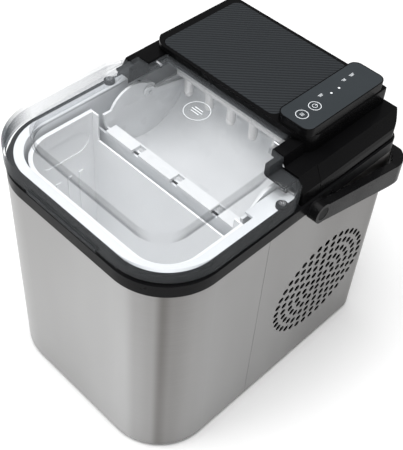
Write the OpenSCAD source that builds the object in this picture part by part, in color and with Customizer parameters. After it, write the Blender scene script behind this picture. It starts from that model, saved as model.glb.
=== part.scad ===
// Countertop bullet-ice maker. Millimetres, Z up, front face towards -Y.
// Built about the middle of the steel body; place() moves it so that the origin is
// under the middle of the whole machine, at table height.

/* [Body] */
// Width of the steel body
body_w = 222; // [216:1:228]
// Depth of the steel body
body_d = 286; // [283:1:289]
// Height of the steel wrap
shell_h = 220; // [219.6:0.1:220]
// Corner radius at the front
front_r = 55; // [50:1:58]
// Corner radius at the back
rear_r = 15; // [14:1:18]
// Thickness of the steel sheet
sheet_t = 0.8; // [0.6:0.1:0.8]
// Height of the rubber feet
foot_h = 5; // [4:0.5:8]

/* [Grille] */
// Rings of holes round the middle hole
grille_rings = 6; // [3:1:6]
// Radius of one hole
hole_r = 3.3; // [2:0.1:3.5]
// Ring spacing from front to back
ring_step_y = 10; // [9:0.1:10]
// Ring spacing from top to bottom
ring_step_z = 8.9; // [8.5:0.1:9]

/* [Lid] */
// Wall thickness of the clear lid
lid_t = 2.2; // [1.8:0.1:2.2]
// Height of the raised window at its front edge
window_front_z = 265; // [263:0.5:266]

/* [Handle] */
// Height of the handle bar
bar_h = 22; // [18:1:24]
// Rear face of the handle bar
bar_outer_y = 161.5; // [158:0.5:164]

/* [Hidden] */
$fn = 64;

half_w = body_w / 2;
half_d = body_d / 2;
lip_y = -half_d - 3;
shift_y = -(bar_outer_y + lip_y) / 2;
seam_y = -27;
gap = 0.1;

// heights of the top parts
band_top = 232;
collar_top = 240;
lid_bottom = 238;
border_top = 254;
window_rear_z = 270.2;
shoulder_z = 257.5;
deck_z = 277;
ledge_z = 258.5;
pod_top = 285;

// plan of the lid window
window_x = 84.5;
window_y = -half_d + 21.5;
window_r = 28;
lid_rear_y = 9.5;
tongue_x = 70.5;
tongue_y = 31;
shoulder_x = 102;

// lid hinge axis
hinge_y = 20;
hinge_z = 266;
hinge_r = 1.5;

// handle pivot
pivot_y = 26;
pivot_z = 222;
arm_in_x = half_w + 2.5;
arm_out_x = half_w + 10;
bar_inner_y = bar_outer_y - 13;

// control pod
pod_x0 = 54;
pod_x1 = 89;
pod_y0 = 31;
pod_y1 = 133;
button_x = 71;
power_y = 59.6;
set_y = 43.7;
button_r = 5.65;
light_x = 69.4;
light_ys = [82.6, 92.6];

// tank, shelf and tray
liner_out = 13.5;
liner_in = 15.5;
tank_floor = 54;
tank_back = -32;
shelf_z = 158;
bay_back = 74;
tray_y = 20;
tray_z = 228;
tray_r = 50;
tray_t = 2;
tray_half = 84.5;
basket_z = 88.2;
basket_top = 232;
basket_back = -38;
finger_xs = [-64.6, -37.6, -10.7, 16.2, 43.1];

// fan
fan_y = 62;
fan_z = 97;
fan_r = 52;

// compressor
comp_x = -52;
comp_y = 76;
comp_r = 44;

// drain
drain_y = -70;
drain_z = 62;

module place() {
  translate([0, shift_y, foot_h])
    children();
}

// rectangle with one corner radius at the front and one at the back
module rect2(x0, x1, y0, y1, rf, rb) {
  translate([x0, y0 + rf])
    square([x1 - x0, y1 - rb - y0 - rf]);
  translate([x0 + rf, y0])
    square([x1 - x0 - 2 * rf, y1 - rb - y0]);
  translate([x0 + rb, y0 + rf])
    square([x1 - x0 - 2 * rb, y1 - y0 - rf]);
  for (x = [x0 + rf, x1 - rf])
    translate([x, y0 + rf])
      circle(r = rf);
  for (x = [x0 + rb, x1 - rb])
    translate([x, y1 - rb])
      circle(r = rb);
}

// plan outline of the body, moved inwards by d
module plan(d) {
  rect2(-half_w + d, half_w - d, -half_d + d, half_d - d, front_r - d, max(rear_r - d, 1));
}

// upright wall between two insets of the plan
module wall(d_out, d_in, z0, z1) {
  translate([0, 0, z0])
    linear_extrude(z1 - z0)
      difference() {
        plan(d_out);
        plan(d_in);
      }
}

module box(x0, x1, y0, y1, z0, z1) {
  translate([x0, y0, z0])
    cube([x1 - x0, y1 - y0, z1 - z0]);
}

// outline drawn in (y, z), carried along X
module along_x(x0, x1) {
  translate([x0, 0, 0])
    rotate([90, 0, 90])
      linear_extrude(x1 - x0)
        children();
}

// outline drawn in (x, z), carried along Y
module along_y(y0, y1) {
  translate([0, y1, 0])
    rotate([90, 0, 0])
      linear_extrude(y1 - y0)
        children();
}

// round rod along X, and along Y
module rod_x(x0, x1, y, z, r) {
  translate([x0, y, z])
    rotate([0, 90, 0])
      cylinder(r = r, h = x1 - x0);
}

module rod_y(y0, y1, x, z, r) {
  translate([x, y1, z])
    rotate([90, 0, 0])
      cylinder(r = r, h = y1 - y0);
}

module both_sides() {
  children();
  mirror([1, 0, 0])
    children();
}

// ---------- outside ----------

module base_pan() {
  color("dimgray")
    place()
      difference() {
        union() {
          linear_extrude(3)
            plan(sheet_t + gap);
          wall(sheet_t + gap, 3, 2, 16);
        }
        for (i = [0:6])
          box(-20, 30, 20 + i * 12, 25 + i * 12, -1, 4);
        for (p = [[-90, -60], [90, -60], [-90, 100], [90, 100]])
          translate([p[0], p[1], -1])
            cylinder(r = 1.6, h = 6);
      }
}

module feet() {
  color("black")
    place()
      for (x = [-82, 82], y = [-98, 118])
        translate([x, y, -foot_h])
          rotate_extrude()
            polygon([[0, 0], [8, 0], [8.8, 0.8], [10, foot_h], [0, foot_h]]);
}

module base_screws() {
  color("silver")
    place()
      for (p = [[-90, -60], [90, -60], [-90, 100], [90, 100]])
        translate([p[0], p[1], -1.6]) {
          cylinder(r = 3, h = 1.6);
          cylinder(r = 1.6, h = 6.6);
        }
}

module front_shell() {
  color("silver")
    place()
      difference() {
        linear_extrude(shell_h)
          intersection() {
            difference() {
              plan(0);
              plan(sheet_t);
            }
            translate([-150, -200])
              square([300, 200 + seam_y - 0.15]);
          }
        rod_x(-half_w - 5, -half_w + 5, drain_y, drain_z, 8.1);
      }
}

module grille_holes() {
  rod_x(half_w - 3, half_w + 3, fan_y, fan_z, hole_r);
  for (k = [1:grille_rings])
    for (i = [0:6 * k - 1])
      rod_x(half_w - 3, half_w + 3,
            fan_y + ring_step_y * k * sin(i * 60 / k),
            fan_z + ring_step_z * k * cos(i * 60 / k), hole_r);
}

module rear_shell() {
  color("silver")
    place()
      difference() {
        union() {
          linear_extrude(shell_h)
            intersection() {
              difference() {
                plan(0);
                plan(sheet_t);
              }
              translate([-150, seam_y + 0.15])
                square([300, 250]);
            }
          both_sides()
            box(half_w - 1.6, half_w - sheet_t, seam_y - 8, seam_y + 8, 17, 205);
        }
        grille_holes();
        for (i = [0:9])
          box(-10, 80, half_d - 5, half_d + 5, 40 + i * 10, 44 + i * 10);
        box(-84, -56, half_d - 5, half_d + 5, 24, 44);
      }
}

module top_rim() {
  color("black")
    place()
      difference() {
        union() {
          wall(0, liner_out - gap, shell_h, band_top);
          wall(sheet_t + gap, 3, 206, shell_h + 1);
          difference() {
            union() {
              wall(3.5, liner_out - gap, band_top - 1, 238.5);
              wall(3.5, 7.3, 238, collar_top);
            }
            box(-150, 150, 8, 200, band_top, 250);
            translate([0, 0, band_top])
              linear_extrude(20)
                difference() {
                  rect2(-150, 150, -20, 60, 1, 1);
                  lid_back(2 * lid_t);
                }
          }
          both_sides()
            translate([102.5, -8, 238])
              cylinder(r = 5, h = 4.5);
        }
        both_sides()
          translate([102.5, -8, 234])
            cylinder(r = 1.5, h = 12);
      }
}

module rim_screws() {
  color("silver")
    place()
      both_sides()
        translate([102.5, -8, 234]) {
          cylinder(r = 1.5, h = 8.5);
          translate([0, 0, 8.5])
            difference() {
              cylinder(r = 3, h = 1.8);
              translate([-2, -0.4, 1])
                cube([4, 0.8, 1]);
              translate([-0.4, -2, 1])
                cube([0.8, 4, 1]);
            }
        }
}

// stepped black arm in front of the cover, one side
module cover_arm() {
  along_y(10.5, 34)
    polygon([[71.5, 261.5], [71.5, 268], [73, 269.3], [84, 269.3], [86, 258.9], [101, 258.9],
             [107.8, 244], [108.8, 236], [108.8, band_top], [102.5, band_top], [102.5, 241],
             [98, 254], [88, 256], [84, 261.5]]);
  along_y(-3, 14)
    polygon([[77, 254.5], [77, 265.3], [81.6, 265.3], [81.6, 254.5], [99, 254.5], [99, 252.6],
             [79, 252.6]]);
}

// closed shape of the cover, moved inwards by t
module cover_form(t) {
  intersection() {
    translate([0, 0, band_top])
      linear_extrude(ledge_z - band_top - t)
        plan(2 + t);
    along_x(-120, 120)
      polygon([[33 + t, 230], [33 + t, 270], [139 - t, 270], [142 - t, 240], [142 - t, 230]]);
    along_y(-10, 150)
      polygon([[-109.4 + t, 230], [-108.6 + t, 240], [-108 + t, 244], [-100.9 + t, 260],
               [-100.9 + t, 270], [100.9 - t, 270], [100.9 - t, 260], [108 - t, 244],
               [108.6 - t, 240], [109.4 - t, 230]]);
  }
  intersection() {
    translate([0, 0, 250])
      linear_extrude(deck_z - 250 - t)
        rect2(-89.5 + t, 89.5 - t, 29.3 + t, 141 - t, 18 - t, 8 - t);
    along_x(-100, 100)
      polygon([[33 + t, 240], [33 + t, 272.5], [28, 272.5], [28, 275.8], [30.4, 278], [132.6 - t, 278],
               [134.8 - t, 275.5], [141 - t, 256], [141 - t, 240]]);
    along_y(0, 150)
      polygon([[-93 + t, 240], [-93 + t, 258.5], [-89.5 + t, 262], [-89.5 + t, 275], [-87 + t, 278],
               [87 - t, 278], [89.5 - t, 275], [89.5 - t, 262], [93 - t, 258.5], [93 - t, 240]]);
  }
}

module rear_cover() {
  color("black")
    place()
      difference() {
        union() {
          difference() {
            cover_form(0);
            cover_form(2.5);
            box(-100, 100, 36, 138, 225, 255);
            box(-98, 98, 20, 40, 225, 248);
            box(-80, 80, 20, 40, 225, 260.5);
          }
          both_sides()
            cover_arm();
        }
        both_sides()
          rod_x(tongue_x, 79, hinge_y, hinge_z, hinge_r + 0.05);
        translate([0, 0, deck_z - 0.8])
          linear_extrude(3)
            rect2(-80, pod_x0 - 1.5, 32.5, 130, 8, 8);
      }
}

module deck_panel() {
  color("darkslategray")
    place()
      translate([0, 0, deck_z - 0.8])
        linear_extrude(1)
          rect2(-79.7, pod_x0 - 1.8, 32.8, 129.7, 7.7, 7.7);
}

module control_pod() {
  color("dimgray")
    place()
      difference() {
        translate([0, 0, deck_z])
          linear_extrude(pod_top - deck_z)
            rect2(pod_x0, pod_x1, pod_y0, pod_y1, 8, 8);
        translate([0, 0, deck_z - 1])
          linear_extrude(pod_top - deck_z - 1)
            rect2(pod_x0 + 2, pod_x1 - 2, pod_y0 + 2, pod_y1 - 2, 6, 6);
        translate([0, 0, pod_top - 0.6])
          linear_extrude(2)
            rect2(pod_x0 + 1, pod_x1 - 1, pod_y0 + 1, pod_y1 - 1, 7, 7);
        for (y = [power_y, set_y])
          translate([button_x, y, deck_z])
            cylinder(r = button_r + 0.15, h = 10);
        for (y = light_ys)
          translate([light_x, y, deck_z])
            cylinder(r = 1, h = 10);
      }
}

module pod_film() {
  color("slategray")
    place()
      difference() {
        translate([0, 0, pod_top - 0.6])
          linear_extrude(0.6)
            rect2(pod_x0 + 1, pod_x1 - 1, pod_y0 + 1, pod_y1 - 1, 7, 7);
        for (y = [power_y, set_y])
          translate([button_x, y, deck_z])
            cylinder(r = button_r + 0.15, h = 10);
        for (y = light_ys)
          translate([light_x, y, deck_z])
            cylinder(r = 1, h = 10);
      }
}

// round key with a stem over its switch, drawn at its own centre
module key() {
  translate([0, 0, pod_top - 2.4])
    cylinder(r = button_r, h = 2.4);
  translate([0, 0, pod_top - 3.6])
    cylinder(r = button_r + 1.2, h = 1.2);
  translate([0, 0, pod_top - 5])
    cylinder(r = 1.6, h = 2);
}

module power_button() {
  color("dimgray")
    place()
      translate([button_x, power_y, 0])
        key();
}

module set_button() {
  color("dimgray")
    place()
      translate([button_x, set_y, 0])
        key();
}

module indicator_lights() {
  color("white")
    place()
      for (y = light_ys)
        translate([light_x, y, deck_z + 1.6])
          cylinder(r = 1, h = pod_top - deck_z - 1.6);
}

module control_board() {
  color("green")
    place() {
      box(58, 85, 36, 128, deck_z, deck_z + 1.2);
      for (y = [power_y, set_y])
        box(button_x - 3, button_x + 3, y - 3, y + 3, deck_z + 1.2, deck_z + 2);
      for (y = light_ys)
        box(light_x - 1.5, light_x + 1.5, y - 1.5, y + 1.5, deck_z + 1.2, deck_z + 1.6);
      box(62, 76, 102, 116, deck_z + 1.2, deck_z + 3);
    }
}

// closed shape of the lid, moved inwards by t and run out past its open faces by e
// plan that draws the lid's sides in towards its back corners
module lid_back(t) {
  polygon([[-130, -200], [130, -200], [118 - t, -18.5], [105.1 - t, 12.6], [105.1 - t, 60],
           [t - 105.1, 60], [t - 105.1, 12.6], [t - 118, -18.5]]);
}

module lid_form(t, e) {
  intersection() {
    translate([0, 0, lid_bottom - e])
      linear_extrude(border_top - lid_bottom - t + e)
        intersection() {
          plan(-1 + t);
          lid_back(t);
        }
    box(-150, 150, -200, lid_rear_y + e, 200, 300);
  }
  intersection() {
    translate([0, 0, border_top - 6])
      linear_extrude(40)
        rect2(-window_x + t, window_x - t, window_y + t, lid_rear_y + e + 2, window_r - t, 2);
    along_x(-150, 150)
      polygon([[-170, 240], [-170, window_front_z - t - 1.5], [40, window_rear_z - t],
               [40, 240]]);
    box(-150, 150, -200, lid_rear_y + e, 200, 300);
  }
  intersection() {
    box(-tongue_x + t, tongue_x - t, -20, tongue_y - t, 262 - e, 290);
    along_x(-150, 150)
      polygon([[-170, 240], [-170, window_front_z - t - 1.5], [40, window_rear_z - t],
               [40, 240]]);
  }
  both_sides()
    intersection() {
      along_y(-90, lid_rear_y + e)
        polygon([[80, 245], [80, shoulder_z - t], [shoulder_x - t, shoulder_z - t],
                 [half_w - 4 - t, border_top - 2 - t / 2], [half_w - 4 - t, 245]]);
      along_x(70, 120)
        polygon([[-24 + t / 2, 245], [-20 + t / 2, border_top - 1 - t], [-2 + t / 2, shoulder_z - t],
                 [40, shoulder_z - t], [40, 245]]);
      linear_extrude(300)
        lid_back(t);
    }
}

module lid() {
  color("gainsboro", 0.5)
    place()
      difference() {
        union() {
          difference() {
            lid_form(0, 0);
            lid_form(lid_t, 1);
          }
          box(-41, 41, lip_y, -half_d - 0.5, 239, 242.5);
        }
        both_sides()
          rod_x(60, 80, hinge_y, hinge_z, hinge_r);
      }
}

module lid_pins() {
  color("silver")
    place()
      both_sides()
        rod_x(66, 78.5, hinge_y, hinge_z, hinge_r);
}

module handle() {
  color("black")
    place()
      difference() {
        union() {
          intersection() {
            linear_extrude(400)
              difference() {
                rect2(-arm_out_x, arm_out_x, 0, bar_outer_y, 1, 26);
                rect2(-arm_in_x, arm_in_x, -20, bar_inner_y, 1, 17);
              }
            along_x(-150, 150)
              polygon([[20, 214.5], [126, 186], [150, 203.5 - bar_h], [bar_outer_y - 3, 203 - bar_h],
                       [bar_outer_y, 205.5 - bar_h], [bar_outer_y, 200.5], [bar_outer_y - 3, 203],
                       [134, 206], [28, 230]]);
          }
          both_sides()
            rod_x(arm_in_x, arm_out_x, pivot_y, pivot_z, 9.5);
        }
        both_sides() {
          rod_x(arm_in_x - 1, arm_out_x + 1, pivot_y, pivot_z, 4.05);
          rod_x(arm_out_x - 1.9, arm_out_x + 1, pivot_y, pivot_z, 6.2);
        }
      }
}

module handle_pivots() {
  color("black")
    place()
      both_sides() {
        rod_x(half_w, arm_in_x - gap, pivot_y, pivot_z, 9.5);
        rod_x(half_w, arm_out_x - 0.5, pivot_y, pivot_z, 4);
        rod_x(arm_out_x - 1.8, arm_out_x - 0.2, pivot_y, pivot_z, 6);
      }
}

module power_inlet() {
  color("black")
    place() {
      difference() {
        union() {
          box(-83.8, -56.2, 124, half_d, 24.2, 43.8);
          box(-88, -52, half_d, half_d + 2, 20, 48);
        }
        box(-81, -59, 128, half_d + 3, 27, 41);
      }
      for (x = [-77, -70, -63])
        box(x - 1, x + 1, 127, 140, 32, 36);
    }
}

module drain_socket() {
  color("dimgray")
    place()
      difference() {
        union() {
          rod_x(-half_w - 1.2, -half_w, drain_y, drain_z, 12);
          rod_x(-half_w, -half_w + liner_out, drain_y, drain_z, 8);
        }
        rod_x(-half_w - 5, -half_w + 20, drain_y, drain_z, 5.5);
      }
}

module drain_plug() {
  color("gray")
    place() {
      rod_x(-half_w - 1.3, -half_w + 10, drain_y, drain_z, 5.2);
      rod_x(-half_w - 4.3, -half_w - 1.3, drain_y, drain_z, 9.5);
      box(-half_w - 8, -half_w - 4, drain_y - 1.5, drain_y + 1.5, drain_z - 6, drain_z + 6);
    }
}

// ---------- inside ----------

module inner_liner() {
  color("white")
    place() {
      box(85.5, half_w - liner_in + 1, tank_back + 0.5, 7.5, 235, 237.5);
      difference() {
        union() {
          intersection() {
            translate([0, 0, tank_floor - 2])
              linear_extrude(238.5 - tank_floor + 2)
                plan(liner_out);
            box(-150, 150, -200, tank_back + 2, 0, 300);
          }
          intersection() {
            translate([0, 0, shelf_z - 2])
              linear_extrude(238.5 - shelf_z + 2)
                plan(liner_out);
            box(-150, 150, tank_back, bay_back + 2, 0, 300);
          }
          intersection() {
            wall(7.3 + gap, liner_in, 238.5, collar_top);
            box(-150, 150, -200, 8, 0, 300);
          }
          both_sides()
            box(86, half_w - liner_in + 1, -75, -45, 78, 88);
        }
        difference() {
          intersection() {
            translate([0, 0, tank_floor])
              linear_extrude(300)
                plan(liner_in);
            box(-150, 150, -200, tank_back, 0, 300);
          }
          both_sides()
            box(86, half_w, -75, -45, 78, 88);
        }
        intersection() {
          translate([0, 0, shelf_z])
            linear_extrude(300)
              plan(liner_in);
          box(-150, 150, tank_back + 2, bay_back, 0, 300);
        }
        box(liner_in - half_w, half_w - liner_in, tank_back - 1, tank_back + 3, 208, 300);
        for (i = [-3:3])
          box(i * 25 - 7, i * 25 + 7, tank_back - 1, tank_back + 3, shelf_z, shelf_z + 5);
        box(-150, 150, 8, 200, band_top, 300);
        both_sides()
          translate([102.5, -8, 230])
            cylinder(r = 5.1, h = 20);
        rod_x(-half_w, -half_w + 20, drain_y, drain_z, 5.5);
        translate([28, 0, 0])
          rod_y(tank_back - 2, tank_back + 4, 0, 58, 3);
      }
    }
}

module ice_basket() {
  color("whitesmoke")
    place()
      difference() {
        union() {
          intersection() {
            translate([0, 0, basket_z])
              linear_extrude(basket_top - basket_z)
                plan(20.5);
            box(-150, 150, -200, basket_back, 0, 300);
          }
          intersection() {
            translate([0, 0, basket_top - 2])
              linear_extrude(2)
                plan(18.5);
            box(-150, 150, -200, basket_back, 0, 300);
          }
        }
        difference() {
          intersection() {
            translate([0, 0, basket_z + 1.8])
              linear_extrude(200)
                plan(22.2);
            box(-150, 150, -200, basket_back - 1.8, 0, 300);
          }
          both_sides()
            for (y = [-82, -69, -56])
              box(87.4, 95, y - 2.5, y + 2.5, 80, 172);
        }
        box(-82, 82, basket_back - 4, basket_back + 4, 203, 300);
        both_sides() {
          box(87.9, 89.8, -87.5, -56, 194, 217);
          for (y = [-87.5, -56])
            rod_x(87.9, 89.8, y, 205.5, 11.5);
        }
        for (y = [-107, -87, -67, -47], i = [-6:6])
          if (abs(i) < 5 || y > -100)
            translate([i * 12.5, y, 80])
              cylinder(r = 2.6, h = 20);
      }
}

// cross-section of the tray trough in (y, z), centred on its axis
module trough_section() {
  difference() {
    circle(r = tray_r + tray_t);
    circle(r = tray_r);
    translate([-70, -15])
      square([140, 100]);
  }
}

module water_tray() {
  color("white")
    place()
      difference() {
        translate([0, tray_y, tray_z])
          union() {
            along_x(-tray_half, tray_half)
              trough_section();
            along_x(-78, 80)
              translate([-54, -17])
                square([12, 3]);
            both_sides() {
              along_x(tray_half - 2.5, tray_half)
                difference() {
                  circle(r = tray_r + tray_t);
                  translate([-70, 0])
                    square([140, 100]);
                }
              along_x(tray_half - 2.5, tray_half)
                translate([-18, -14])
                  circle(r = 29);
              rod_x(tray_half - 2.5, 88, 0, 0, 9);
            }
          }
        both_sides()
          rod_x(80, 90, tray_y, tray_z, 4.05);
        for (x = [-40, 8, 56])
          box(x - 4, x + 4, tray_y - 56, tray_y - 43.5, tray_z - 18, tray_z - 10);
      }
}

module tray_pins() {
  color("silver")
    place()
      both_sides() {
        rod_x(82.6, half_w - liner_in, tray_y, tray_z, 4);
        rod_x(77.5, 83, tray_y, tray_z, 2);
      }
}

module ice_rake() {
  color("gainsboro")
    place()
      translate([0, tray_y, tray_z])
        rotate([-12, 0, 0])
          difference() {
            union() {
              box(-81.5, 81.5, 45.2, 49.2, -2, 2);
              both_sides() {
                box(79, 81.5, 0, 46, -3, 3);
                rod_x(79, 81.5, 0, 0, 6);
              }
            }
            both_sides()
              rod_x(78, 90, 0, 0, 2.05);
          }
}

module tray_motor() {
  color("gray")
    place() {
      box(-half_w + 1.5, -half_w + liner_out - gap, 2, 38, 180, 205);
      box(-half_w + 3, -half_w + liner_out - gap, 38, 44, 186, 199);
    }
}

module evaporator() {
  color("lightgray")
    place() {
      box(-72, 72, 46, 64, 240, 246);
      for (y = [50, 60])
        rod_x(-70, 70, y, 250, 3.6);
      translate([70, 55, 250])
        rotate([0, 0, -90])
          rotate_extrude(angle = 180)
            translate([5, 0])
              circle(r = 3.6);
      box(-66, -60, 46, 64, 246, 254);
      box(60, 66, 46, 64, 246, 254);
    }
}

module evaporator_fingers() {
  color("white")
    place()
      for (x = finger_xs)
        translate([x, 55, 0]) {
          translate([0, 0, 218.7])
            cylinder(r = 4.2, h = 21.3);
          translate([0, 0, 218.7])
            sphere(r = 4.2);
        }
}

module ice_sensors() {
  color("black")
    place()
      both_sides()
        rod_x(half_w - liner_in - 2.5, half_w - liner_in, -42, 205, 3.5);
}

module water_pump() {
  color("black")
    place()
      translate([28, -12, 0]) {
        translate([0, 0, 18])
          cylinder(r = 14, h = 44);
        translate([-16, -14, 3])
          cube([32, 28, 2]);
        for (x = [-13, 9])
          translate([x, -10, 5])
            cube([4, 20, 13]);
        rod_y(-18, -12, 0, 58, 4);
        translate([0, 0, 62])
          cylinder(r = 4, h = 6);
      }
}

// round tube through a list of points
module tube(points, r) {
  for (i = [0:len(points) - 2]) {
    d = points[i + 1] - points[i];
    length = norm(d);
    translate(points[i])
      rotate([0, acos(d[2] / length), atan2(d[1], d[0])])
        cylinder(r = r, h = length, $fn = 24);
  }
  if (len(points) > 2)
    for (i = [1:len(points) - 2])
      translate(points[i])
        sphere(r = r, $fn = 24);
}

module pump_hose() {
  color("whitesmoke")
    place()
      tube([[28, -12, 68], [28, -12, 147], [28, 84, 147], [28, 84, 242], [28, 69, 242], [28, 69, 235]], 3);
}

module tank_insulation() {
  color("white")
    place()
      difference() {
        intersection() {
          union() {
            wall(4, liner_out, 52, 200);
            translate([0, 0, 44])
              linear_extrude(8)
                plan(4);
          }
          box(-150, 150, -200, tank_back + 2, 0, 300);
        }
        rod_x(-half_w, -half_w + liner_out + 1, drain_y, drain_z, 8);
      }
}

module compressor() {
  color("black")
    place() {
      translate([comp_x, comp_y, 12])
        rotate_extrude()
          polygon([[0, 0], [34, 0], [41, 5], [comp_r, 14], [comp_r, 58], [comp_r + 1.2, 60],
                   [comp_r + 1.2, 64], [comp_r, 66], [comp_r, 92], [40, 105], [30, 113],
                   [14, 117], [0, 118]]);
      translate([comp_x, comp_y, 10])
        linear_extrude(2.5)
          difference() {
            square([92, 84], center = true);
            for (x = [-40, 40], y = [-36, 36])
              translate([x, y])
                circle(r = 3);
          }
      box(comp_x - 26, comp_x + 4, comp_y + 30, comp_y + 48, 40, 70);
      for (x = [-60, -40])
        rod_y(comp_y + 36, 124, x, 90 + (x == -60 ? 20 : 10), 3);
    }
}

module compressor_grommets() {
  color("black")
    place()
      for (x = [-40, 40], y = [-36, 36])
        translate([comp_x + x, comp_y + y, 3]) {
          cylinder(r = 6.5, h = 7);
          cylinder(r = 3, h = 12);
          translate([0, 0, 9.5])
            cylinder(r = 5.5, h = 2.5);
        }
}

module condenser() {
  color("silver")
    place() {
      for (i = [0:20])
        box(40, 64, 11 + i * 5, 11.6 + i * 5, 30, 150);
      for (z = [50, 80, 110, 140], x = [46, 58])
        rod_y(8, 116, x, z, 3);
      for (y = [8, 114.5])
        box(40, 64, y, y + 1.5, 3, 150);
    }
}

module fan_shroud() {
  color("dimgray")
    place()
      difference() {
        union() {
          difference() {
            box(76, 100, 4, 120, 3, 155);
            rod_x(70, 110, fan_y, fan_z, fan_r + 3);
            box(79, 110, 7, 117, -1, 30);
          }
          for (a = [0:3])
            translate([76, fan_y, fan_z])
              rotate([45 + 90 * a, 0, 0])
                translate([0, 15.5, -2])
                  cube([3, 42, 4]);
          rod_x(76, 80, fan_y, fan_z, 18.5);
        }
        rod_x(70, 90, fan_y, fan_z, 15);
      }
}

module fan_motor() {
  color("black")
    place()
      difference() {
        rod_x(66, 80, fan_y, fan_z, 15);
        rod_x(72, 90, fan_y, fan_z, 1.55);
      }
}

module fan() {
  color("dimgray")
    place() {
      rod_x(73, 95, fan_y, fan_z, 1.5);
      rod_x(83, 95, fan_y, fan_z, 17);
      intersection() {
        rod_x(80, 98, fan_y, fan_z, fan_r);
        translate([89, fan_y, fan_z])
          for (a = [0:6])
            rotate([a * 360 / 7, 0, 0])
                      translate([0, 0, 14])
                  rotate([0, 0, 38])
                    translate([-0.8, -13, 0])
                      cube([1.6, 26, 42]);
      }
    }
}

module filter_drier() {
  color("peru")
    place()
      translate([15, 126, 58])
        rotate_extrude()
          polygon([[0, 0], [2.5, 0], [3, 4], [6, 8], [6, 38], [3, 42], [1.5, 46], [0, 46]]);
}

module refrigerant_lines() {
  color("peru")
    place() {
      tube([[-40, 124, 100], [-40, 126.6, 100], [-40, 126.6, 140], [-40, 119.5, 140], [46, 119.5, 140],
            [46, 116, 140]], 2.5);
      tube([[58, 116, 50], [58, 126, 50], [15, 126, 50], [15, 126, 58]], 2.5);
      tube([[15, 126, 104], [15, 126, 251], [15, 64, 251]], 1.2);
      tube([[-60, 64, 251], [-60, 126.6, 251], [-60, 126.6, 110], [-60, 124, 110]], 2.5);
    }
}

module power_board() {
  color("green")
    place() {
      box(-106, -104.4, 50, 118, 135, 200);
      box(-104.4, -99, 56, 76, 140, 158);
      box(-104.4, -92, 84, 96, 165, 190);
      for (y = [60, 70])
        rod_x(-104.4, -99, y, 176, 4);
    }
}

base_pan();
feet();
front_shell();
rear_shell();
top_rim();
rear_cover();
deck_panel();
control_pod();
pod_film();
power_button();
set_button();
indicator_lights();
control_board();
lid();
lid_pins();
handle();
handle_pivots();
rim_screws();
base_screws();
power_inlet();
drain_socket();
drain_plug();
inner_liner();
ice_basket();
water_tray();
tray_pins();
ice_rake();
tray_motor();
evaporator();
evaporator_fingers();
ice_sensors();
water_pump();
pump_hose();
tank_insulation();
compressor();
compressor_grommets();
condenser();
fan_shroud();
fan();
fan_motor();
filter_drier();
refrigerant_lines();
power_board();
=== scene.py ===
"""Looks of the countertop ice maker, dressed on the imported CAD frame. Metres, Z up."""
import math
import bmesh
import bpy
from mathutils import Matrix, Vector


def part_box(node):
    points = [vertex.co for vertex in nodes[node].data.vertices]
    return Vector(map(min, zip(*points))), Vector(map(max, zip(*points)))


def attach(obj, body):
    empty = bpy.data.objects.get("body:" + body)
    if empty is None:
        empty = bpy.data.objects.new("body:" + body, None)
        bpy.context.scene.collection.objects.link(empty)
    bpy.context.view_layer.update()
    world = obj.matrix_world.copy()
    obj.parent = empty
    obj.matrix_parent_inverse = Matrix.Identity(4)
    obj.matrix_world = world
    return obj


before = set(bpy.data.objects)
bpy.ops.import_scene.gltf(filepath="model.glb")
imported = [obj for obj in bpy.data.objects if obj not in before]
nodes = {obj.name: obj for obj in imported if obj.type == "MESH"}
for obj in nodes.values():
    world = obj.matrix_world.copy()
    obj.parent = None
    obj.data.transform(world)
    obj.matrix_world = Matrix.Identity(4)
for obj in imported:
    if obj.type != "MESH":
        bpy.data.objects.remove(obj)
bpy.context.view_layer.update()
MM = 0.001


# ---------- shader helpers ----------

def new_material(name):
    mat = bpy.data.materials.new(name)
    mat.use_nodes = True
    tree = mat.node_tree
    shader = tree.nodes["Principled BSDF"]
    return mat, tree, shader


def add(tree, kind, **settings):
    """New shader node with its own settings, such as an operation or an axis."""
    item = tree.nodes.new(kind)
    for key, value in settings.items():
        setattr(item, key, value)
    return item


def own_point(tree):
    """The object's own coordinates in metres, as separate X, Y and Z."""
    coord = add(tree, "ShaderNodeTexCoord")
    split = add(tree, "ShaderNodeSeparateXYZ")
    tree.links.new(coord.outputs["Object"], split.inputs["Vector"])
    return split.outputs


def mapped_noise(tree, scale, stretch=(1, 1, 1), detail=4.0, roughness=0.55):
    """Noise in the object's own coordinates (metres), stretched per axis."""
    coord = add(tree, "ShaderNodeTexCoord")
    mapping = add(tree, "ShaderNodeMapping")
    mapping.inputs["Scale"].default_value = stretch
    noise = add(tree, "ShaderNodeTexNoise")
    noise.inputs["Scale"].default_value = scale
    noise.inputs["Detail"].default_value = detail
    noise.inputs["Roughness"].default_value = roughness
    tree.links.new(coord.outputs["Object"], mapping.inputs["Vector"])
    tree.links.new(mapping.outputs["Vector"], noise.inputs["Vector"])
    return noise.outputs["Fac"]


def remap(tree, source, low, high, from_low=0.25, from_high=0.75):
    """Carry a value from one range to another; the default range is where noise mostly lies."""
    node = add(tree, "ShaderNodeMapRange")
    node.inputs["From Min"].default_value = from_low
    node.inputs["From Max"].default_value = from_high
    node.inputs["To Min"].default_value = low
    node.inputs["To Max"].default_value = high
    tree.links.new(source, node.inputs["Value"])
    return node.outputs["Result"]


def combine(tree, operation, *sources):
    """Math node over sockets and plain numbers."""
    node = add(tree, "ShaderNodeMath", operation=operation)
    for socket, source in zip(node.inputs, sources):
        if isinstance(source, float):
            socket.default_value = source
        else:
            tree.links.new(source, socket)
    return node.outputs["Value"]


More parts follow.
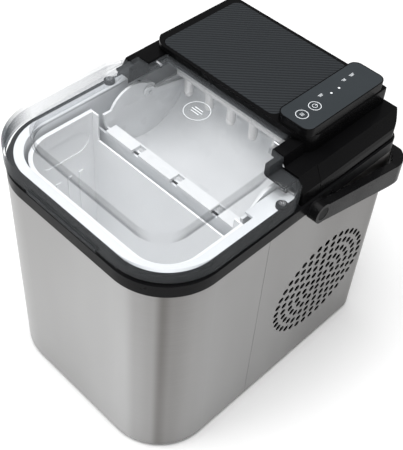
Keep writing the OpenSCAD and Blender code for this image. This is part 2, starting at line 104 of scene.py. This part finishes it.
def tint(tree, source, dark, light):
    """Colour between dark and light, as source goes from 0 to 1."""
    mix = add(tree, "ShaderNodeMix", data_type="RGBA")
    mix.inputs["A"].default_value = (*dark, 1)
    mix.inputs["B"].default_value = (*light, 1)
    tree.links.new(source, mix.inputs["Factor"])
    return mix.outputs["Result"]


def bump(tree, shader, height, strength, distance):
    node = add(tree, "ShaderNodeBump")
    node.inputs["Strength"].default_value = strength
    node.inputs["Distance"].default_value = distance
    tree.links.new(height, node.inputs["Height"])
    tree.links.new(node.outputs["Normal"], shader.inputs["Normal"])


def facing(tree, blend):
    """How far the surface turns away from the viewer, from 0 to 1."""
    weight = add(tree, "ShaderNodeLayerWeight")
    weight.inputs["Blend"].default_value = blend
    return weight.outputs["Facing"]


# ---------- kinds of material ----------

def moulded(name, dark, light, rough, rough_spread=0.08, grain=900, grain_depth=0.00004,
            coat=0.0, metallic=0.0, subsurface=0.0, ior=1.42):
    """Moulded, painted or plated surface: cloudy colour, smudged roughness and a fine grain."""
    mat, tree, shader = new_material(name)
    cloud = mapped_noise(tree, 14, detail=5)
    tree.links.new(tint(tree, remap(tree, cloud, 0, 1), dark, light), shader.inputs["Base Color"])
    smudge = mapped_noise(tree, 38, detail=6)
    tree.links.new(remap(tree, smudge, rough - rough_spread, rough + rough_spread),
                   shader.inputs["Roughness"])
    bump(tree, shader, mapped_noise(tree, grain, detail=3), 0.5, grain_depth)
    shader.inputs["Metallic"].default_value = metallic
    shader.inputs["Coat Weight"].default_value = coat
    shader.inputs["Coat Roughness"].default_value = 0.08
    shader.inputs["IOR"].default_value = ior
    if subsurface:
        shader.inputs["Subsurface Weight"].default_value = subsurface
        shader.inputs["Subsurface Radius"].default_value = (0.004, 0.004, 0.004)
    return mat


# upright bands round the body, painted reflection and painted shade on the steel: (place, level),
# from the left of the front to the right rear
PAINTED_REFLECTION_SHADE_BANDS = ((0.0, 0.62), (0.20, 0.65), (0.29, 0.72), (0.345, 0.80), (0.372, 0.54), (0.405, 0.44),
               (0.426, 0.05), (0.447, 0.24), (0.50, 0.42), (0.53, 0.50), (0.62, 0.46), (0.72, 0.40),
               (0.85, 0.22), (1.0, 0.06))
PAINTED_BAND_REACH = 0.27               # X + Y in metres at either end of the bands
STEEL_FOOT, STEEL_TOP = 0.05, 0.225     # heights between which painted shade darkens the steel upwards
LINE_WEIGHT = 0.30              # how strongly the fine lines show over the bands


def painted_reflection_shade_levels(tree, around):
    """Level of the painted reflection and shade bands at a place round the body."""
    ramp = add(tree, "ShaderNodeValToRGB")
    ramp.color_ramp.interpolation = "EASE"
    elements = ramp.color_ramp.elements
    while len(elements) < len(PAINTED_REFLECTION_SHADE_BANDS):
        elements.new(0.5)
    for element, (place, level) in zip(elements, PAINTED_REFLECTION_SHADE_BANDS):
        element.position = place
        element.color = (level, level, level, 1)
    tree.links.new(remap(tree, around, 0, 1, -PAINTED_BAND_REACH, PAINTED_BAND_REACH), ramp.inputs["Fac"])
    return ramp.outputs["Color"]


def brushed(name, dark, light, rough):
    """Sheet steel brushed round the body: long fine lines over soft upright bands of painted
    reflection and shade, with painted shade darkening it upwards.
    """
    mat, tree, shader = new_material(name)
    lines = mapped_noise(tree, 60, stretch=(0.35, 0.35, 42), detail=8, roughness=0.7)
    point = own_point(tree)
    # painted reflection and shade: upright bands round the body, clouded with random tone
    painted_bands = painted_reflection_shade_levels(tree, combine(tree, "ADD", point["X"], point["Y"]))
    cloud = mapped_noise(tree, 5, stretch=(1.6, 1.6, 0.3), detail=3)
    painted_bands_clouded = combine(tree, "ADD", painted_bands, remap(tree, cloud, -0.10, 0.10))
    # painted shade: the steel darkens towards the top
    height = remap(tree, point["Z"], 0.03, -0.13, STEEL_FOOT, STEEL_TOP)
    shaded = combine(tree, "ADD", painted_bands_clouded, height)
    level = combine(tree, "MULTIPLY_ADD", lines, LINE_WEIGHT, shaded)
    tree.links.new(tint(tree, level, dark, light), shader.inputs["Base Color"])
    tree.links.new(remap(tree, lines, rough - 0.06, rough + 0.08), shader.inputs["Roughness"])
    bump(tree, shader, lines, 0.35, 0.00003)
    shader.inputs["Metallic"].default_value = 1.0
    shader.inputs["Anisotropic"].default_value = 0.55
    tangent = add(tree, "ShaderNodeTangent", direction_type="RADIAL", axis="Z")
    tree.links.new(tangent.outputs["Tangent"], shader.inputs["Tangent"])
    return mat


LID_SKIRT, LID_STEP = 0.257, 0.262      # heights between which the lid goes from smoky to clear


def clear_plastic(name, colour, body, gloss_rough=0.04):
    """Clear moulding: light passes through, the faces and edges catch gloss, thick edges darken."""
    mat, tree, shader = new_material(name)
    tree.nodes.remove(shader)
    through = add(tree, "ShaderNodeBsdfTransparent")
    edge = remap(tree, facing(tree, 0.35), 0.0, 0.95, 0.27, 0.56)
    smoky = remap(tree, own_point(tree)["Z"], 1.0, 0.22, LID_SKIRT, LID_STEP)
    haze = remap(tree, mapped_noise(tree, 9, detail=3), 0.0, 0.03)
    shade = combine(tree, "MULTIPLY_ADD", edge, smoky, haze)
    tree.links.new(tint(tree, shade, colour, body), through.inputs["Color"])
    gloss = add(tree, "ShaderNodeBsdfPrincipled")
    gloss.inputs["Base Color"].default_value = (0.24, 0.255, 0.27, 1)
    smudge = mapped_noise(tree, 30, detail=6)
    tree.links.new(remap(tree, smudge, gloss_rough - 0.02, gloss_rough + 0.05),
                   gloss.inputs["Roughness"])
    bump(tree, gloss, mapped_noise(tree, 22, detail=2), 0.15, 0.0004)
    graze = combine(tree, "POWER", facing(tree, 0.5), 4.0)
    share = combine(tree, "MULTIPLY_ADD", graze, 0.4, 0.07)
    mix = add(tree, "ShaderNodeMixShader")
    tree.links.new(share, mix.inputs["Fac"])
    tree.links.new(through.outputs["BSDF"], mix.inputs[1])
    tree.links.new(gloss.outputs["BSDF"], mix.inputs[2])
    tree.links.new(mix.outputs["Shader"], tree.nodes["Material Output"].inputs["Surface"])
    return mat


RIBS_AT_SCALE_1 = 3.18          # ribs per metre that the wave texture makes at a scale of 1


def ribbed(name, dark, light, pitch):
    """Inlay with wavy diagonal ribs at the given pitch."""
    mat, tree, shader = new_material(name)
    coord = add(tree, "ShaderNodeTexCoord")
    mapping = add(tree, "ShaderNodeMapping")
    mapping.inputs["Rotation"].default_value = (0, 0, math.radians(45))
    wave = add(tree, "ShaderNodeTexWave", bands_direction="X", wave_profile="SIN")
    wave.inputs["Scale"].default_value = 1 / pitch / RIBS_AT_SCALE_1
    wave.inputs["Distortion"].default_value = 1.3
    wave.inputs["Detail"].default_value = 1.0
    wave.inputs["Detail Scale"].default_value = 0.18
    tree.links.new(coord.outputs["Object"], mapping.inputs["Vector"])
    tree.links.new(mapping.outputs["Vector"], wave.inputs["Vector"])
    tree.links.new(tint(tree, wave.outputs["Fac"], dark, light), shader.inputs["Base Color"])
    grain = mapped_noise(tree, 1200, detail=3)
    tree.links.new(remap(tree, grain, 0.38, 0.55), shader.inputs["Roughness"])
    shader.inputs["IOR"].default_value = 1.2
    bump(tree, shader, wave.outputs["Fac"], 0.6, 0.0004)
    return mat


# ---------- the materials ----------

steel = brushed("brushed_steel", (0.095, 0.089, 0.083), (0.385, 0.385, 0.385), 0.34)
clear = clear_plastic("clear_lid", (0.99, 0.992, 0.995), (0.13, 0.14, 0.15))
charcoal = ribbed("charcoal_ribs", (0.010, 0.0115, 0.013), (0.024, 0.027, 0.030), 0.0034)

# the black plastics have a low index of refraction, so that they stay dark seen edge on
black_gloss = moulded("black_gloss", (0.0025, 0.0025, 0.0027), (0.005, 0.005, 0.0053), 0.20,
                      rough_spread=0.05, grain_depth=0.00002, ior=1.12)
black_matt = moulded("black_matt", (0.004, 0.004, 0.0045), (0.009, 0.009, 0.0095), 0.45,
                     ior=1.12)
dark_band = moulded("dark_band", (0.005, 0.005, 0.0055), (0.010, 0.010, 0.0105), 0.32,
                    ior=1.12)
film = moulded("satin_film", (0.024, 0.028, 0.031), (0.031, 0.036, 0.040), 0.36, ior=1.16)
handle_black = moulded("handle_black", (0.003, 0.003, 0.0033), (0.007, 0.007, 0.0073), 0.25,
                       ior=1.14)

white = moulded("white_plastic", (0.93, 0.94, 0.95), (0.97, 0.975, 0.98), 0.34, subsurface=0.1)
# painted shade: the liner and the tray are copies of the white plastic made darker, to tone down how
# brightly they are lit beside the deep basket
liner_white_painted_shade = moulded("liner_plastic_painted_shade", (0.76, 0.78, 0.80), (0.83, 0.845, 0.86), 0.36, subsurface=0.1)
tray_white_painted_shade = moulded("tray_plastic_painted_shade", (0.76, 0.77, 0.78), (0.82, 0.83, 0.84), 0.30, subsurface=0.1)
foam = moulded("bead_foam", (0.70, 0.69, 0.66), (0.86, 0.85, 0.82), 0.8, grain=260,
               grain_depth=0.0004)
lit = moulded("light_pipe", (0.62, 0.64, 0.66), (0.80, 0.82, 0.84), 0.3, subsurface=0.3)
ink = moulded("print_white", (0.50, 0.52, 0.54), (0.62, 0.64, 0.66), 0.5)

rubber = moulded("rubber", (0.012, 0.012, 0.012), (0.03, 0.03, 0.03), 0.75, grain=600)
plug_rubber = moulded("grey_rubber", (0.22, 0.23, 0.24), (0.32, 0.33, 0.34), 0.6, grain=600)
screw = moulded("bright_zinc", (0.55, 0.55, 0.56), (0.72, 0.72, 0.73), 0.28, metallic=1.0)
nickel = moulded("nickel_plate", (0.80, 0.79, 0.78), (0.92, 0.91, 0.90), 0.28, metallic=0.2,
                 subsurface=0.1)
fin = moulded("fin_aluminium", (0.50, 0.51, 0.52), (0.68, 0.69, 0.70), 0.38, metallic=1.0)
copper = moulded("copper_tube", (0.46, 0.20, 0.10), (0.70, 0.36, 0.22), 0.32, metallic=1.0)
enamel = moulded("black_enamel", (0.008, 0.008, 0.009), (0.02, 0.02, 0.02), 0.3, coat=0.4)
motor_case = moulded("motor_case", (0.18, 0.18, 0.19), (0.30, 0.30, 0.31), 0.4, metallic=0.7)
board = moulded("board_green", (0.01, 0.10, 0.035), (0.02, 0.17, 0.06), 0.4, grain=500)

MATERIALS = {
    "front_shell": steel, "rear_shell": steel, "base_pan": black_matt, "feet": rubber,
    "top_rim": dark_band, "rear_cover": black_gloss, "deck_panel": charcoal,
    "control_pod": black_gloss, "pod_film": film, "power_button": film, "set_button": film,
    "indicator_lights": lit, "control_board": board, "lid": clear, "lid_pins": screw,
    "handle": handle_black, "handle_pivots": black_matt, "rim_screws": screw,
    "base_screws": screw, "power_inlet": black_matt, "drain_socket": black_matt,
    "drain_plug": plug_rubber, "inner_liner": liner_white_painted_shade, "ice_basket": white,
    "water_tray": tray_white_painted_shade, "tray_pins": screw, "ice_rake": tray_white_painted_shade,
    "tray_motor": motor_case, "evaporator": nickel, "evaporator_fingers": nickel,
    "ice_sensors": black_gloss, "water_pump": black_matt, "pump_hose": plug_rubber,
    "tank_insulation": foam, "compressor": enamel, "compressor_grommets": rubber,
    "condenser": fin, "fan_shroud": black_matt, "fan": black_matt, "fan_motor": motor_case,
    "filter_drier": copper, "refrigerant_lines": copper, "power_board": board,
}

# rounded edges on the moulded nodes, in millimetres
EDGES = {
    "lid": 0.5, "rear_cover": 0.9, "control_pod": 0.7, "handle": 4.0, "top_rim": 0.4,
    "handle_pivots": 0.4, "deck_panel": 0.25, "inner_liner": 0.5, "water_tray": 0.5,
    "ice_basket": 0.4, "power_button": 0.2, "set_button": 0.2, "front_shell": 0.15,
    "rear_shell": 0.15, "drain_plug": 0.5, "drain_socket": 0.4, "power_inlet": 0.4,
    "feet": 0.5, "evaporator": 0.4, "ice_rake": 0.3, "fan": 0.3, "fan_shroud": 0.4,
}

for name, obj in nodes.items():
    obj.data.materials.clear()
    obj.data.materials.append(MATERIALS[name])
    if name in EDGES:
        edge = obj.modifiers.new("edge", "BEVEL")
        edge.width = EDGES[name] * MM
        edge.segments = 2
        edge.limit_method = "ANGLE"
        edge.angle_limit = math.radians(35)
        edge.use_clamp_overlap = True
        edge.harden_normals = False


# ---------- small printed marks ----------

INK_HEIGHT = 0.1 * MM
SUNK = 0.02 * MM                # how far a key's print starts below the key's top


def printed(name, bm, body):
    """Make a piece of printing from its mesh, riding on a body."""
    mesh = bpy.data.meshes.new(name)
    bm.to_mesh(mesh)
    bm.free()
    mesh.materials.append(ink)
    obj = bpy.data.objects.new(name, mesh)
    bpy.context.scene.collection.objects.link(obj)
    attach(obj, body)


def ring(bm, centre, outer, inner, height, steps=64, tilt=0.0):
    """Flat printed ring with its own thickness; tilt leans it about X to follow a sloping face."""
    turn = Matrix.Rotation(tilt, 4, "X")
    loops = []
    for radius, z in ((outer, 0), (outer, height), (inner, height), (inner, 0)):
        loop = []
        for i in range(steps):
            a = 2 * math.pi * i / steps
            point = turn @ Vector((radius * math.cos(a), radius * math.sin(a), z))
            loop.append(bm.verts.new(Vector(centre) + point))
        loops.append(loop)
    for k in range(4):
        first, second = loops[k], loops[(k + 1) % 4]
        for i in range(steps):
            j = (i + 1) % steps
            bm.faces.new((first[i], first[j], second[j], second[i]))


def bar(bm, centre, size, tilt=0.0):
    """Small printed bar with chamfered corners; tilt leans it about X."""
    sx, sy, sz = size
    cut = min(sx, sy) * 0.3
    outline = [(-sx / 2 + cut, -sy / 2), (sx / 2 - cut, -sy / 2), (sx / 2, -sy / 2 + cut),
               (sx / 2, sy / 2 - cut), (sx / 2 - cut, sy / 2), (-sx / 2 + cut, sy / 2),
               (-sx / 2, sy / 2 - cut), (-sx / 2, -sy / 2 + cut)]
    turn = Matrix.Rotation(tilt, 4, "X")
    low = [bm.verts.new(Vector(centre) + turn @ Vector((x, y, 0))) for x, y in outline]
    high = [bm.verts.new(Vector(centre) + turn @ Vector((x, y, sz))) for x, y in outline]
    bm.faces.new(list(reversed(low)))
    bm.faces.new(high)
    for i in range(8):
        j = (i + 1) % 8
        bm.faces.new((low[i], low[j], high[j], high[i]))


def key_start(node):
    """New mesh with the ring round a key, and where the print on that key starts."""
    low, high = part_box(node)
    x, y, z = (low[0] + high[0]) / 2, (low[1] + high[1]) / 2, high[2] - SUNK
    bm = bmesh.new()
    ring(bm, (x, y, z), 5.5 * MM, 4.85 * MM, 0.12 * MM)
    return bm, x, y, z


def power_key_print():
    """Generic on sign: a small ring with a bar through its top."""
    bm, x, y, z = key_start("power_button")
    ring(bm, (x, y, z), 2.4 * MM, 1.9 * MM, INK_HEIGHT, 32)
    bar(bm, (x, y + 1.9 * MM, z), (0.5 * MM, 2.2 * MM, 0.13 * MM))
    printed("power_button_print", bm, "power_key")


def set_key_print():
    """Three plain bars."""
    bm, x, y, z = key_start("set_button")
    for step in (-1.2, 0, 1.2):
        bar(bm, (x, y + step * MM, z), (3.4 * MM, 0.5 * MM, INK_HEIGHT))
    printed("set_button_print", bm, "set_key")


# groups of dashes along the film: (distance from its front end, length), in millimetres
DASH_GROUPS = ((41.5, 5.0), (72.0, 4.4), (82.5, 5.6))


def film_marks():
    """Plain dashes beside the lights, three to a group and each shorter than the last."""
    low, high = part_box("pod_film")
    bm = bmesh.new()
    for distance, length in DASH_GROUPS:
        for k in range(3):
            x = low[0] + (10.5 + (k - 1) * 0.9) * MM
            y = low[1] + distance * MM
            bar(bm, (x, y, high[2] - 0.01 * MM), (0.45 * MM, length * MM * (1 - 0.15 * k), 0.06 * MM))
    printed("film_marks", bm, "machine")


# mark on the lid's window, in millimetres, and how steeply the window rises to the rear
MARK_X, MARK_Y, MARK_Z = 0.3, -10.05, 274.0
WINDOW_SLOPE = math.atan2(6.7, 210)


def lid_mark():
    """Plain ring with three bars, leaning with the window."""
    bm = bmesh.new()
    ring(bm, (MARK_X * MM, MARK_Y * MM, MARK_Z * MM), 11.6 * MM, 11.0 * MM, INK_HEIGHT, 96,
         WINDOW_SLOPE)
    for row in (-1, 0, 1):
        centre = (MARK_X * MM, (MARK_Y + row * 2.6) * MM, (MARK_Z + row * 0.08) * MM)
        bar(bm, centre, ((12 - 3 * abs(row)) * MM, 0.9 * MM, INK_HEIGHT), WINDOW_SLOPE)
    printed("lid_ring_mark", bm, "lid_body")


power_key_print()
set_key_print()
film_marks()
lid_mark()


# ---------- floor, light and camera ----------

FLOOR_REACH = 6.0
WORLD_STRENGTH = 0.44
LIGHT_AIM = (0, 0, 0.15)


def pale_floor():
    mesh = bpy.data.meshes.new("floor")
    far = FLOOR_REACH
    mesh.from_pydata([(-far, -far, 0), (far, -far, 0), (far, far, 0), (-far, far, 0)],
                     [], [(0, 1, 2, 3)])
    floor = bpy.data.objects.new("floor", mesh)
    mat, tree, shader = new_material("floor_white")
    tree.links.new(tint(tree, mapped_noise(tree, 3), (0.90, 0.90, 0.90), (0.92, 0.92, 0.92)),
                   shader.inputs["Base Color"])
    shader.inputs["Roughness"].default_value = 0.6
    mesh.materials.append(mat)
    bpy.context.scene.collection.objects.link(floor)


def white_world():
    world = bpy.data.worlds.new("studio")
    bpy.context.scene.world = world
    world.use_nodes = True
    background = world.node_tree.nodes["Background"]
    background.inputs["Color"].default_value = (1.0, 1.0, 1.0, 1)
    background.inputs["Strength"].default_value = WORLD_STRENGTH


def soft_box(name, place, side, power):
    """Square area light aimed at the machine."""
    data = bpy.data.lights.new(name, "AREA")
    data.shape = "RECTANGLE"
    data.size = side
    data.size_y = side
    data.energy = power
    lamp = bpy.data.objects.new(name, data)
    lamp.location = place
    lamp.rotation_euler = (Vector(LIGHT_AIM) - Vector(place)).to_track_quat("-Z", "Y").to_euler()
    bpy.context.scene.collection.objects.link(lamp)


def camera_at(target, azimuth, elevation, roll, distance, lens):
    """Camera that looks at target from an azimuth and elevation in degrees, tipped by roll."""
    az, el, tip = (math.radians(v) for v in (azimuth, elevation, roll))
    back = Vector((math.sin(az) * math.cos(el), -math.cos(az) * math.cos(el), math.sin(el)))
    right = (-back).cross(Vector((0, 0, 1))).normalized()
    up = right.cross(-back)
    right_tipped = right * math.cos(tip) + up * math.sin(tip)
    up_tipped = up * math.cos(tip) - right * math.sin(tip)
    data = bpy.data.cameras.new("camera")
    data.lens = lens
    data.sensor_width = 36
    data.clip_start = 0.01
    cam = bpy.data.objects.new("camera", data)
    turn = Matrix((right_tipped, up_tipped, back)).transposed().to_4x4()
    cam.matrix_world = Matrix.Translation(Vector(target) + back * distance) @ turn
    bpy.context.scene.collection.objects.link(cam)
    bpy.context.scene.camera = cam


pale_floor()
white_world()
soft_box("key", (-0.7, -1.1, 1.4), 1.0, 10)
soft_box("top", (0.0, -0.15, 1.8), 1.3, 30)
soft_box("front", (0.75, -0.8, 1.5), 0.8, 5)
camera_at(target=(0.0008, 0.0071, 0.1238), azimuth=41.335, elevation=47.449, roll=4.961,
          distance=0.8283, lens=69.59)
bpy.context.scene.view_settings.view_transform = "Standard"
